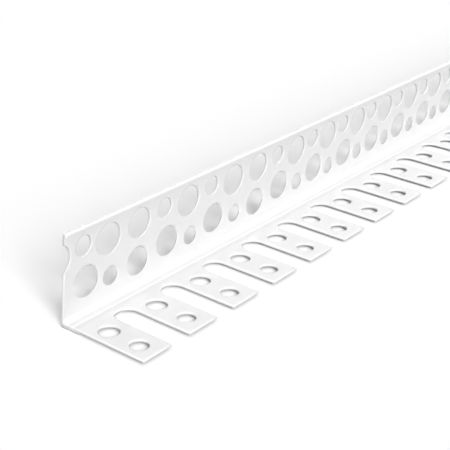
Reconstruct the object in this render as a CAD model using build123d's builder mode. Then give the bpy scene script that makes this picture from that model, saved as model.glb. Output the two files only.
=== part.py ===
# Flexible arch corner bead in white PVC: one extruded angle, punched and slotted.
# X runs along the bead, the punched leg stands at the back (+Y), the tabbed leg lies to the front (-Y),
# and the bead lies on Z = 0 on the two feet under its nose. Millimetres.
import os
from math import ceil, cos, radians, sin

from build123d import *

# Stock length and section
length = 2500.0
leg_height = 25.0
leg_width = 26.0
wall = 0.7
lean = 3.6

# Nose: two feet with a hinge groove between them, and three fine lines on the inside of the angle
foot_height = 0.7
foot_reach = 6.0
nose_radius = 0.45
hinge_at = 3.4
hinge_radius = 0.45
corner_radius = 0.4
line_radius = 0.2
line_up_leg = 0.75
line_inner = 1.2
line_outer = 3.1

# Stiffening lip along the top of the standing leg
lip_height = 1.0
lip_thickness = 1.1
lip_radius = 0.4

# Tabs of the lying leg, parted by round-ended slots, with two holes in each tab
first_tab = 9.6
tab_pitch = 16.8
slot_width = 6.5
slot_root = 6.3
inner_hole_at = 11.3
inner_hole_radius = 2.65
outer_hole_at = 20.7
outer_hole_radius = 2.35

# Holes of the standing leg: small and large holes change places from column to column
small_radius = 2.6
large_radius = 4.2
middle_radius = 3.95
upper_small_height = 19.9
upper_large_height = 18.6
upper_middle_height = 19.0
lower_small_height = 8.2
lower_large_height = 10.0
lower_middle_height = 8.5

# Columns of holes: two joint columns of middle holes part three strokes of the punch near the cut end,
# and each stroke has a slant of its own between the upper and the lower hole of a column
column_pitch = tab_pitch / 2
second_column = 15.2
wide_pitch = 9.45
joint_columns = (3, 8)
joint_room = 0.85
stroke_slants = (1.2, 1.7, 2.2)
last_wide_column = 10
end_margin = 1.0

start = -length / 2
back = leg_width / 2
front = -leg_width / 2
leg_top = foot_height + wall
rise, tip = cos(radians(lean)), sin(radians(lean))


def on_leg(across, up):
    """Section point of the standing leg, across from its outer face and up along it."""
    return (back - across * rise - up * tip, up * rise - across * tip)


def column_place(index):
    """Distance of a column of holes from the cut end."""
    if index <= 2:
        return second_column + (index - 2) * column_pitch
    wide = min(index, last_wide_column)
    sides = sum((wide >= joint) + (wide > joint) for joint in joint_columns)
    place = second_column + (wide - 2) * wide_pitch + sides * joint_room
    return place + (index - wide) * column_pitch


corner = (leg_top + wall * tip) / rise

with BuildPart() as bead:
    # Section of the angle, seen along the bead
    with BuildSketch(Plane.YZ.offset(start)) as section:
        with BuildLine():
            Polyline(
                (back, 0),
                on_leg(0, leg_height),
                on_leg(lip_thickness, leg_height),
                on_leg(lip_thickness, leg_height - lip_height),
                on_leg(wall, leg_height - lip_height),
                on_leg(wall, corner),
                (front, leg_top),
                (front, foot_height),
                (back - foot_reach, foot_height),
                (back - foot_reach, 0),
                close=True,
            )
        make_face()
        for point, radius in (
            ((back, 0), nose_radius),
            (on_leg(wall, corner), corner_radius),
            (on_leg(0, leg_height), lip_radius),
            (on_leg(lip_thickness, leg_height), lip_radius),
        ):
            fillet(section.vertices().sort_by_distance(point)[0], radius)
        with Locations((back - hinge_at, 0)):
            Circle(hinge_radius, mode=Mode.SUBTRACT)
        with Locations(
            on_leg(wall, corner + line_up_leg),
            (on_leg(wall, corner)[0] - line_inner, leg_top),
            (on_leg(wall, corner)[0] - line_outer, leg_top),
        ):
            Circle(line_radius, mode=Mode.SUBTRACT)
    extrude(amount=length)

    # Slots and tab holes through the lying leg
    slots = ceil((length - first_tab) / tab_pitch)
    slot_places = [start + first_tab + slot_width / 2 + n * tab_pitch for n in range(slots)]
    tab_places = [place - tab_pitch / 2 for place in slot_places]
    with BuildSketch(Plane.XY) as slot_cuts:
        with Locations(*[(place, front) for place in slot_places]):
            SlotOverall(2 * (leg_width - slot_root), slot_width, rotation=90)
    extrude(amount=leg_top, mode=Mode.SUBTRACT)
    with BuildSketch(Plane.XY) as tab_holes:
        with Locations(*[(place, back - inner_hole_at) for place in tab_places]):
            Circle(inner_hole_radius)
        with Locations(*[(place, back - outer_hole_at) for place in tab_places]):
            Circle(outer_hole_radius)
    extrude(amount=leg_top, mode=Mode.SUBTRACT)

    # Punched columns through the standing leg; the cut goes through the first large hole of the upper row
    leg_plane = Plane(origin=(start, back, 0), x_dir=(1, 0, 0), z_dir=(0, -rise, -tip))
    small_places = []
    large_places = []
    middle_places = []
    index = 0
    large_is_upper = True
    while column_place(index) + max(stroke_slants) / 2 + large_radius + end_margin < length:
        slant = stroke_slants[sum(index > joint for joint in joint_columns)]
        upper = column_place(index) - slant / 2
        lower = column_place(index) + slant / 2
        if index in joint_columns:
            middle_places.append((column_place(index), upper_middle_height))
            middle_places.append((column_place(index), lower_middle_height))
        elif large_is_upper:
            large_places.append((upper, upper_large_height))
            small_places.append((lower, lower_small_height))
            large_is_upper = False
        else:
            small_places.append((upper, upper_small_height))
            large_places.append((lower, lower_large_height))
            large_is_upper = True
        index += 1
    with BuildSketch(leg_plane) as punched:
        with Locations(*large_places):
            Circle(large_radius)
        with Locations(*small_places[1:]):
            Circle(small_radius)
        with Locations(*middle_places):
            Circle(middle_radius)
    extrude(amount=wall, mode=Mode.SUBTRACT)

os.makedirs("parts", exist_ok=True)
bead.part.label = "arch_corner_bead"
export_step(bead.part, "parts/arch_corner_bead.step")
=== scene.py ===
# %% [markdown]
# A flexible arch bead is a long angle of thin white PVC that plasterers fix to curved corners. One leg is
# punched with round holes that the plaster keys into. The other is slotted into tabs, so that it can bend.
# The bead's solid is loaded first as a fixed frame, and everything below is set out in that same frame.

# %% Load the frame
from math import ceil, cos, pi, radians, sin

import bpy
import numpy as np
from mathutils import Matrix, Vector
from mathutils.geometry import delaunay_2d_cdt


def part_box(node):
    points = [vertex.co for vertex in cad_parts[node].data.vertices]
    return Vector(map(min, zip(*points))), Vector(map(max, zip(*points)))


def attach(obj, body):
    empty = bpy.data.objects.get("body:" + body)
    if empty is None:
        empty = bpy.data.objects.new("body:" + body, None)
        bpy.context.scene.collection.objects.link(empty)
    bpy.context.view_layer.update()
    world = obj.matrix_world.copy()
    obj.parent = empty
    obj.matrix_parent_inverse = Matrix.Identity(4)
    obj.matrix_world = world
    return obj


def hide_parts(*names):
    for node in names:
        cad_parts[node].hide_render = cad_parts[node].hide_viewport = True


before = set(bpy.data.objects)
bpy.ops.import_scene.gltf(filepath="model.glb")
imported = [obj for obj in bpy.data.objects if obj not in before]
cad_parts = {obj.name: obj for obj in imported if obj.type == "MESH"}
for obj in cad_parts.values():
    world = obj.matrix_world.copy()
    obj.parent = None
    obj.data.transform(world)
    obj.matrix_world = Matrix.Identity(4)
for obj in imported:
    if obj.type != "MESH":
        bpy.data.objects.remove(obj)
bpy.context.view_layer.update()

NODE = "arch_corner_bead"
MM = 0.001
(start, front, _), (end, _, _) = np.array(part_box(NODE)) / MM
length = end - start
print(f"bead {length:.1f} mm long")

# %% [markdown]
# The real bead leaves the extruder as a plain angle and is punched afterwards. Cutting some nine hundred holes
# with booleans would be slow and would leave hard edges. Here the bead is drawn flat instead, like a strip of
# card before it is folded: `u` runs along the bead, and `v` runs up the punched leg (above nought) and out
# along the tabbed leg (below nought). These are the sizes of the flat strip and of its fold, in millimetres.

# %% Sizes of the bead
LEG_HEIGHT = 24.97
LEG_WIDTH = 26.0
WALL = 0.7
LEAN = radians(3.6)
FOOT_HEIGHT = 0.7
FOOT_REACH = 5.9
LIP_HEIGHT = 1.0
LIP_THICKNESS = 1.1
EDGE_STEP = 0.12

FIRST_TAB = 9.6
TAB_PITCH = 16.8
SLOT_WIDTH = 6.5
SLOT_ROOT = 6.3
TAB_HOLES = ((11.3, 2.65), (20.7, 2.35))

SMALL, LARGE, MIDDLE = 2.6, 4.2, 3.95
UPPER_HEIGHT = {SMALL: 19.9, LARGE: 18.6, MIDDLE: 19.0}
LOWER_HEIGHT = {SMALL: 8.2, LARGE: 10.0, MIDDLE: 8.5}
SECOND_COLUMN = 15.2
COLUMN_PITCH = TAB_PITCH / 2
WIDE_PITCH = 9.45
JOINT_COLUMNS = (3, 8)
JOINT_ROOM = 0.85
LAST_WIDE_COLUMN = 10
STROKE_SLANTS = (1.2, 1.7, 2.2)
END_MARGIN = 1.0

back = front + LEG_WIDTH
leg_top = FOOT_HEIGHT + WALL
rise, tip = cos(LEAN), sin(LEAN)
tabs = ceil((length - FIRST_TAB) / TAB_PITCH)
print(tabs, "tabs")

# %% [markdown]
# The section is a strip between two curves, the outer face and the inner face. Both are given as a few knots
# over `v`, and straight lines join the knots. The nose is where the strip turns: its two arcs share one fan of
# directions. Grooves are dents with the shape of one wave of a cosine: two fine lines on the tabbed leg, one
# just above the nose, and a deeper hinge groove under the nose, which lets the tabs bend.

# %% Section of the bead
NOSE_RADIUS = 0.45
CORNER_RADIUS = 0.4
LINE_UP_LEG, LINE_INNER, LINE_OUTER = 0.75, 1.2, 3.1
LINE_DEPTH, LINE_HALF_WIDTH = 0.16, 0.32
HINGE_AT, HINGE_DEPTH, HINGE_HALF_WIDTH = 3.4, 0.45, 0.5
TURN_STEPS, GROOVE_STEPS = 9, 7


def on_leg(across, up):
    """Section point of the standing leg: `across` from its outer face, `up` along it."""
    return np.stack([back - across * rise - up * tip, up * rise - across * tip], -1)


def on_tabs(height, v):
    """Section point of the tabbed leg at a height over the floor; `v` is below nought."""
    return np.stack([back + v, height + 0 * v], -1)


def turn(corner_point, radius):
    """Arc that rounds a corner of the section: centre + radius * direction, over the turn of the nose."""
    heading = np.linspace(LEAN, -pi / 2, TURN_STEPS)
    away = radius / cos((pi / 2 + LEAN) / 2)
    middle = (LEAN - pi / 2) / 2
    centre = corner_point - away * np.array([cos(middle), sin(middle)])
    return centre + radius * np.stack([np.cos(heading), np.sin(heading)], -1)


def dent(at, half_width, depth):
    """Places and depths of a groove: depth * (1 + cos) / 2 over one wave."""
    step = np.linspace(-1, 1, GROOVE_STEPS)
    return at + half_width * step, depth * (1 + np.cos(pi * step)) / 2


print(f"the nose turns by {90 + LEAN * 180 / pi:.1f} degrees")

# %% [markdown]
# The knots of both faces are now listed from the top of the punched leg, round the nose, to the tab tips. The
# inner face has the lip and the three fine lines. The outer face has the hinge groove, and a step up from the
# foot to the tabs. `fold` then carries any point of the flat strip to its place on the bead.

# %% Faces of the section
corner_up = (leg_top + WALL * tip) / rise
corner_out = back - on_leg(WALL, corner_up)[0]
turn_v = np.linspace(corner_up + CORNER_RADIUS * 1.08, -corner_out - CORNER_RADIUS * 1.08, TURN_STEPS)

up_v, up_dent = dent(corner_up + LINE_UP_LEG, LINE_HALF_WIDTH, LINE_DEPTH)
in_v, in_dent = dent(-corner_out - LINE_INNER, LINE_HALF_WIDTH, LINE_DEPTH)
out_v, out_dent = dent(-corner_out - LINE_OUTER, LINE_HALF_WIDTH, LINE_DEPTH)
lip_v = np.array([LEG_HEIGHT, LEG_HEIGHT - LIP_HEIGHT, LEG_HEIGHT - LIP_HEIGHT - EDGE_STEP])
lip_across = np.array([LIP_THICKNESS, LIP_THICKNESS, WALL])
tip_v = np.array([-LEG_WIDTH])
inner_v = np.concatenate([lip_v, up_v[::-1], turn_v, in_v[::-1], out_v[::-1], tip_v])
inner_yz = np.concatenate([
    on_leg(lip_across, lip_v),
    on_leg(WALL - up_dent, up_v)[::-1],
    turn(on_leg(WALL, corner_up), CORNER_RADIUS),
    on_tabs(leg_top - in_dent, in_v)[::-1],
    on_tabs(leg_top - out_dent, out_v)[::-1],
    on_tabs(leg_top, tip_v),
])

hinge_v, hinge_dent = dent(-HINGE_AT, HINGE_HALF_WIDTH, HINGE_DEPTH)
foot_v = np.array([-FOOT_REACH + EDGE_STEP, -FOOT_REACH, -LEG_WIDTH])
foot_z = np.array([0, FOOT_HEIGHT, FOOT_HEIGHT])
outer_v = np.concatenate([lip_v[:1], turn_v, hinge_v[::-1], foot_v])
outer_yz = np.concatenate([
    on_leg(0 * lip_v[:1], lip_v[:1]),
    turn(np.array([back, 0]), NOSE_RADIUS),
    on_tabs(hinge_dent, hinge_v)[::-1],
    on_tabs(foot_z, foot_v),
])
stations = np.union1d(inner_v, outer_v)[1:-1]
print(len(stations), "lines run along the bead")


def fold(u, v, depth):
    """Folds the flat strip: x is u, and y, z are inner + depth * way out, at most as far as the outer face."""
    inner = np.stack([np.interp(v, inner_v[::-1], inner_yz[::-1, k]) for k in (0, 1)], -1)
    outer = np.stack([np.interp(v, outer_v[::-1], outer_yz[::-1, k]) for k in (0, 1)], -1)
    through = outer - inner
    share = depth / np.linalg.norm(through, axis=-1)
    return np.concatenate([u[..., None], inner + np.clip(share, 0, 1)[..., None] * through], -1) * MM


# %% [markdown]
# The outline of the flat strip is one closed loop. It goes down the cut end, round the bite that the cut takes
# out of a large hole, out to the tab tips, in and out of every slot, up the far end and back along the top.
# Near the cut end, which the camera sees, curves get many points, and further along they get few.

# %% Outline of the flat strip
NEAR_LENGTH = 300.0
NEAR_POINTS, FAR_POINTS = 28, 14


def column_place(index):
    """Distance of a column from the cut end: pitches from the second column on, plus room beside joints."""
    if index <= 2:
        return SECOND_COLUMN + (index - 2) * COLUMN_PITCH
    wide = min(index, LAST_WIDE_COLUMN)
    sides = sum((wide >= joint) + (wide > joint) for joint in JOINT_COLUMNS)
    return SECOND_COLUMN + (wide - 2) * WIDE_PITCH + sides * JOINT_ROOM + (index - wide) * COLUMN_PITCH


def points_at(u):
    """Points that a whole circle gets at a place along the bead."""
    return NEAR_POINTS if u - start < NEAR_LENGTH else FAR_POINTS


def arc(centre, radius, first, last):
    """Arc points: centre + radius * (cos, sin) between two angles, spaced as for a whole circle."""
    steps = max(3, ceil(points_at(centre[0]) * abs(last - first) / (2 * pi)) + 1)
    angle = np.linspace(first, last, steps)
    return np.array(centre) + radius * np.stack([np.cos(angle), np.sin(angle)], -1)


bite = (start + column_place(0) - STROKE_SLANTS[0] / 2, UPPER_HEIGHT[LARGE])
half_bite = np.arccos((start - bite[0]) / LARGE)
bite_arc = arc(bite, LARGE, half_bite, -half_bite)
cut_v = stations[(stations < bite_arc[-1, 1]) | (stations > bite_arc[0, 1])][::-1]
above = cut_v > bite[1]
cut_end = np.stack([np.full(len(cut_v), start), cut_v], -1)
outline = [np.array([(start, LEG_HEIGHT)]), cut_end[above], bite_arc, cut_end[~above]]

slot_centre = start + FIRST_TAB + SLOT_WIDTH / 2 + TAB_PITCH * np.arange(tabs)
slot_top = -SLOT_ROOT - SLOT_WIDTH / 2
outline.append(np.array([(start, -LEG_WIDTH)]))
for centre in slot_centre[:-1]:
    outline.append(np.array([(centre - SLOT_WIDTH / 2, -LEG_WIDTH)]))
    outline.append(arc((centre, slot_top), SLOT_WIDTH / 2, pi, 0))
    outline.append(np.array([(centre + SLOT_WIDTH / 2, -LEG_WIDTH)]))
last_angle = np.arccos((end - slot_centre[-1]) / (SLOT_WIDTH / 2))
outline.append(np.array([(slot_centre[-1] - SLOT_WIDTH / 2, -LEG_WIDTH)]))
outline.append(arc((slot_centre[-1], slot_top), SLOT_WIDTH / 2, pi, last_angle))
outline.append(np.stack([np.full(len(stations), end), stations], -1))
outline.append(np.array([(end, LEG_HEIGHT)]))
outline = np.concatenate(outline)
side = outline - np.roll(outline, 1, axis=0)
before = np.stack([-side[:, 1], side[:, 0]], -1) / np.linalg.norm(side, axis=1)[:, None]
after = np.roll(before, -1, axis=0)
outline_inwards = (before + after) / (1 + (before * after).sum(1))[:, None]
print(len(outline), "points on the outline")

# %% [markdown]
# Holes come in columns along the punched leg, small over large and large over small by turns, with two columns
# of middle holes where one stroke of the punch meets the next. Every tab has an inner and an outer hole. A
# hole is a circle that runs the other way round than the outline, so that its wall faces into the hole.

# %% Holes of the flat strip
holes = []
index, large_is_upper = 0, True
while column_place(index) + max(STROKE_SLANTS) / 2 + LARGE + END_MARGIN < length:
    place = start + column_place(index)
    slant = STROKE_SLANTS[sum(index > joint for joint in JOINT_COLUMNS)] / 2
    if index in JOINT_COLUMNS:
        holes += [(place, UPPER_HEIGHT[MIDDLE], MIDDLE), (place, LOWER_HEIGHT[MIDDLE], MIDDLE)]
    else:
        upper, lower = (LARGE, SMALL) if large_is_upper else (SMALL, LARGE)
        holes += [(place - slant, UPPER_HEIGHT[upper], upper), (place + slant, LOWER_HEIGHT[lower], lower)]
        large_is_upper = not large_is_upper
    index += 1
holes = holes[2:]
for at, radius in TAB_HOLES:
    holes += [(centre - TAB_PITCH / 2, -at, radius) for centre in slot_centre]

loops, inwards = [outline], [outline_inwards]
for u, v, radius in holes:
    angle = -np.linspace(0, 2 * pi, points_at(u), endpoint=False)
    ray = np.stack([np.cos(angle), np.sin(angle)], -1)
    loops.append((u, v) + radius * ray)
    inwards.append(ray)
print(len(holes), "holes")

# %% [markdown]
# A punch rolls the edge over on the side that it enters. So each loop carries a small edge profile from the
# inner face through the wall to the outer face: a round-over, a straight wall and a narrow chamfer. All loops
# share that profile, so every ring of the mesh is the flat loops moved inwards and down, then folded. The last
# ring goes right through: it is given a depth beyond any wall, and `fold` stops it at the outer face.

# %% Rings round every edge
EDGE_ROUND = 0.25
EDGE_CHAMFER = 0.08
RIGHT_THROUGH = 99.0

loop_size = np.array([len(loop) for loop in loops])
loop_start = np.concatenate([[0], np.cumsum(loop_size)[:-1]])
loop_of = np.repeat(np.arange(len(loops)), loop_size)
points, inwards = np.concatenate(loops), np.concatenate(inwards)
count = len(points)
following = np.arange(count) + 1
following[loop_start + loop_size - 1] = loop_start

inner_rim = fold(*points.T, np.zeros(count))
outer_rim = fold(*points.T, np.full(count, RIGHT_THROUGH))
thickness = np.linalg.norm(inner_rim - outer_rim, axis=1) / MM
round_angle = np.linspace(0, pi / 2, 3)
ring_inset = np.concatenate([EDGE_ROUND * (1 - np.sin(round_angle)), [0, EDGE_CHAMFER]])
ring_depth = [np.full(count, depth) for depth in EDGE_ROUND * (1 - np.cos(round_angle))]
ring_depth += [thickness - EDGE_CHAMFER, np.full(count, RIGHT_THROUGH)]
flat_rings = points + ring_inset[:, None, None] * inwards
rings = np.stack([fold(*flat.T, depth) for flat, depth in zip(flat_rings, ring_depth)])
print(rings.shape, "rings, points, coordinates")

# %% [markdown]
# The faces between the loops are filled by a constrained triangulation of the flat strip. It keeps every loop
# and every line along the bead as an edge. Triangles inside a hole are those whose three corners lie on one
# hole's loop, and they are dropped. The same triangles, turned over, fill the outer face.

# %% Fill the two faces
on_line = np.isin(points[:, 1], stations)
cut_points = {points[n, 1]: n for n in np.flatnonzero(on_line & np.isclose(points[:, 0], start))}
far_points = {points[n, 1]: n for n in np.flatnonzero(on_line & np.isclose(points[:, 0], end))}
pairs = [(cut_points[v], far_points[v]) for v in stations if v in cut_points and v in far_points]
polygons = [list(range(s, s + n)) for s, n in zip(loop_start, loop_size)]
flat = [Vector(p) for p in flat_rings[0] - (start, 0)]
_, _, filled, origin, _, _ = delaunay_2d_cdt(flat, pairs, polygons, 1, 1e-6)
origin = np.array([o[0] for o in origin])
triangles = origin[np.array(filled)]
in_hole = (loop_of[triangles] == loop_of[triangles[:, :1]]).all(1) & (loop_of[triangles[:, 0]] > 0)
triangles = triangles[~in_hole]
print(len(triangles), "triangles fill one face")

# %% [markdown]
# The two filled faces, and bands of four-sided faces between the rings, make one closed skin. Edges stay crisp
# where faces meet steeply and along the rims of the filled faces, so that the flat faces are shaded flat.

# %% Close the bead
last_ring = (len(rings) - 1) * count
bands = np.arange(len(rings) - 1)[:, None] * count
here, there = bands + np.arange(count), bands + following
walls = np.stack([here, here + count, there + count, there], -1).reshape(-1, 4)
faces = triangles.tolist() + (triangles[:, ::-1] + last_ring).tolist() + walls.tolist()

mesh = bpy.data.meshes.new("pvc_bead")
mesh.from_pydata(rings.reshape(-1, 3), [], faces)
mesh.validate()
mesh.set_sharp_from_angle(angle=radians(50))
edge = np.empty(2 * len(mesh.edges), int)
mesh.edges.foreach_get("vertices", edge)
edge = np.sort(edge.reshape(-1, 2), axis=1)
rim = np.sort(np.stack([np.arange(count), following], -1), axis=1)
rim = np.concatenate([rim, rim + last_ring])
edge_number, rim_number = (e[:, 0] * rings.size + e[:, 1] for e in (edge, rim))
sharp = np.zeros(len(edge), bool)
mesh.attributes["sharp_edge"].data.foreach_get("value", sharp)
mesh.attributes["sharp_edge"].data.foreach_set("value", sharp | np.isin(edge_number, rim_number))
bead = bpy.data.objects.new("pvc_bead", mesh)
bpy.context.scene.collection.objects.link(bead)
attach(bead, "root")
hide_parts(NODE)
print(len(triangles) * 2 + len(walls) * 2, "triangles")

# %% [markdown]
# The camera stands in front of the cut end, to the left of the bead, and looks down along it. Its place is
# given from the cut end, so that it keeps its view of that end whatever the length of the stock. The lens is
# a short telephoto on a 36 mm frame, which keeps the perspective of the long bead gentle.

# %% Camera
CAMERA_FROM_CUT = Vector((-0.15478, -0.15150, 0.13265))
CAMERA_TURN = (radians(64.8424), radians(-1.8525), radians(-52.0011))
CAMERA_LENS = 87.569
SENSOR_WIDTH = 36.0

camera_data = bpy.data.cameras.new("photo_camera")
camera_data.sensor_width = SENSOR_WIDTH
camera_data.lens = CAMERA_LENS
camera_data.clip_start = 0.005
camera_data.clip_end = 50.0
camera = bpy.data.objects.new("photo_camera", camera_data)
camera.location = CAMERA_FROM_CUT + Vector((start * MM, 0, 0))
camera.rotation_euler = CAMERA_TURN
bpy.context.scene.collection.objects.link(camera)
bpy.context.scene.camera = camera
print("camera at", tuple(round(v, 4) for v in camera.location))

# %% [markdown]
# The plastic is satin white PVC. On the real bead the extruder leaves faint streaks along the length, and thin
# PVC lets a little light through. A plain white would look like paper, so the base colour drifts between two
# near whites along stretched noise, the gloss drifts with it, and a little light is scattered under the skin.

# %% White PVC
PVC_LIGHT, PVC_DARK = 0.78, 0.75
STREAK_STRETCH = (0.08, 1.0, 1.0)
STREAK_SCALE, GRAIN_SCALE = 400.0, 1500.0
SKIN_DEPTH = 0.0008
PVC_IOR = 1.54

pvc = bpy.data.materials.new("white_pvc")
pvc.use_nodes = True
nodes, links = pvc.node_tree.nodes, pvc.node_tree.links
bsdf = nodes["Principled BSDF"]
place = nodes.new("ShaderNodeTexCoord")
stretch = nodes.new("ShaderNodeMapping")
stretch.inputs["Scale"].default_value = STREAK_STRETCH
streaks = nodes.new("ShaderNodeTexNoise")
streaks.inputs["Scale"].default_value = STREAK_SCALE
streaks.inputs["Detail"].default_value = 3.0
tone = nodes.new("ShaderNodeMix")
tone.data_type = "RGBA"
tone.inputs["A"].default_value = (PVC_DARK, PVC_DARK, PVC_DARK, 1)
tone.inputs["B"].default_value = (PVC_LIGHT, PVC_LIGHT, PVC_LIGHT, 1)
gloss = nodes.new("ShaderNodeMapRange")
gloss.inputs["To Min"].default_value = 0.28
gloss.inputs["To Max"].default_value = 0.38
grain = nodes.new("ShaderNodeTexNoise")
grain.inputs["Scale"].default_value = GRAIN_SCALE
bump = nodes.new("ShaderNodeBump")
bump.inputs["Strength"].default_value = 0.06
bump.inputs["Distance"].default_value = 0.0001
links.new(place.outputs["Object"], stretch.inputs["Vector"])
links.new(stretch.outputs["Vector"], streaks.inputs["Vector"])
links.new(streaks.outputs["Fac"], tone.inputs["Factor"])
links.new(tone.outputs["Result"], bsdf.inputs["Base Color"])
links.new(streaks.outputs["Fac"], gloss.inputs["Value"])
links.new(gloss.outputs["Result"], bsdf.inputs["Roughness"])
links.new(place.outputs["Object"], grain.inputs["Vector"])
links.new(grain.outputs["Fac"], bump.inputs["Height"])
links.new(bump.outputs["Normal"], bsdf.inputs["Normal"])
bsdf.inputs["IOR"].default_value = PVC_IOR
bsdf.inputs["Subsurface Weight"].default_value = 0.5
bsdf.inputs["Subsurface Radius"].default_value = (1, 1, 1)
bsdf.inputs["Subsurface Scale"].default_value = SKIN_DEPTH
mesh.materials.append(pvc)
print("pvc tones", PVC_DARK, "to", PVC_LIGHT)

# %% [markdown]
# The picture is a plain product shot on white. The floor is one large white square. It shows the camera a
# brighter white than it gives back to the bead, so the bead isn't flooded with light from below, and it still
# takes the bead's soft shadow.

# %% White floor
FLOOR_REACH = 8.0
FLOOR_SEEN, FLOOR_LIT = 1.0, 0.37

floor_corners = FLOOR_REACH * np.array([(-1, -1, 0), (1, -1, 0), (1, 1, 0), (-1, 1, 0)])
floor_mesh = bpy.data.meshes.new("floor")
floor_mesh.from_pydata(floor_corners, [], [(0, 1, 2, 3)])
floor = bpy.data.objects.new("floor", floor_mesh)
bpy.context.scene.collection.objects.link(floor)
paper = bpy.data.materials.new("floor_paper")
paper.use_nodes = True
nodes, links = paper.node_tree.nodes, paper.node_tree.links
surface = nodes["Principled BSDF"]
surface.inputs["Roughness"].default_value = 1.0
surface.inputs["Specular IOR Level"].default_value = 0.0
rays = nodes.new("ShaderNodeLightPath")
white = nodes.new("ShaderNodeMix")
white.data_type = "RGBA"
white.inputs["A"].default_value = (FLOOR_LIT, FLOOR_LIT, FLOOR_LIT, 1)
white.inputs["B"].default_value = (FLOOR_SEEN, FLOOR_SEEN, FLOOR_SEEN, 1)
links.new(rays.outputs["Is Camera Ray"], white.inputs["Factor"])
links.new(white.outputs["Result"], surface.inputs["Base Color"])
floor_mesh.materials.append(paper)
print("floor", 2 * FLOOR_REACH, "m across")

# %% [markdown]
# The light is soft, as in a light tent. A wide key lamp from the front leaves the floor behind the punched leg in
# shade, which makes its holes show up grey. A lamp from above and one from the left fill in. Each lamp is a wide
# sun, so that it lights the whole length of the bead alike. The backdrop looks brighter to the camera and in the
# gloss than the light that it gives.

# %% Sky and lamps
SKY_STRENGTH = 0.24
SKY_IN_GLOSS = 2.3
LAMPS = {
    "key_lamp": ((-0.6, -1.0, 0.66), 2.9, radians(26)),
    "top_lamp": ((0.0, -0.1, 1.0), 0.68, radians(80)),
    "left_lamp": ((-1.0, -0.2, 0.6), 0.55, radians(60)),
}

world = bpy.data.worlds.new("light_tent")
world.use_nodes = True
nodes, links = world.node_tree.nodes, world.node_tree.links
sky = nodes["Background"]
sky.inputs["Color"].default_value = (1, 1, 1, 1)
rays = nodes.new("ShaderNodeLightPath")
brightness = nodes.new("ShaderNodeMix")
brightness.inputs["A"].default_value = SKY_STRENGTH
brightness.inputs["B"].default_value = SKY_IN_GLOSS
seen = nodes.new("ShaderNodeMath")
links.new(rays.outputs["Is Camera Ray"], seen.inputs[0])
links.new(rays.outputs["Is Glossy Ray"], seen.inputs[1])
links.new(seen.outputs["Value"], brightness.inputs["Factor"])
links.new(brightness.outputs["Result"], sky.inputs["Strength"])
bpy.context.scene.world = world
for name, (towards, energy, softness) in LAMPS.items():
    lamp_data = bpy.data.lights.new(name, "SUN")
    lamp_data.energy = energy
    lamp_data.angle = softness
    lamp = bpy.data.objects.new(name, lamp_data)
    lamp.rotation_euler = Vector(towards).to_track_quat("Z", "Y").to_euler()
    bpy.context.scene.collection.objects.link(lamp)
bpy.context.scene.view_settings.view_transform = "Standard"
print(len(LAMPS), "lamps")
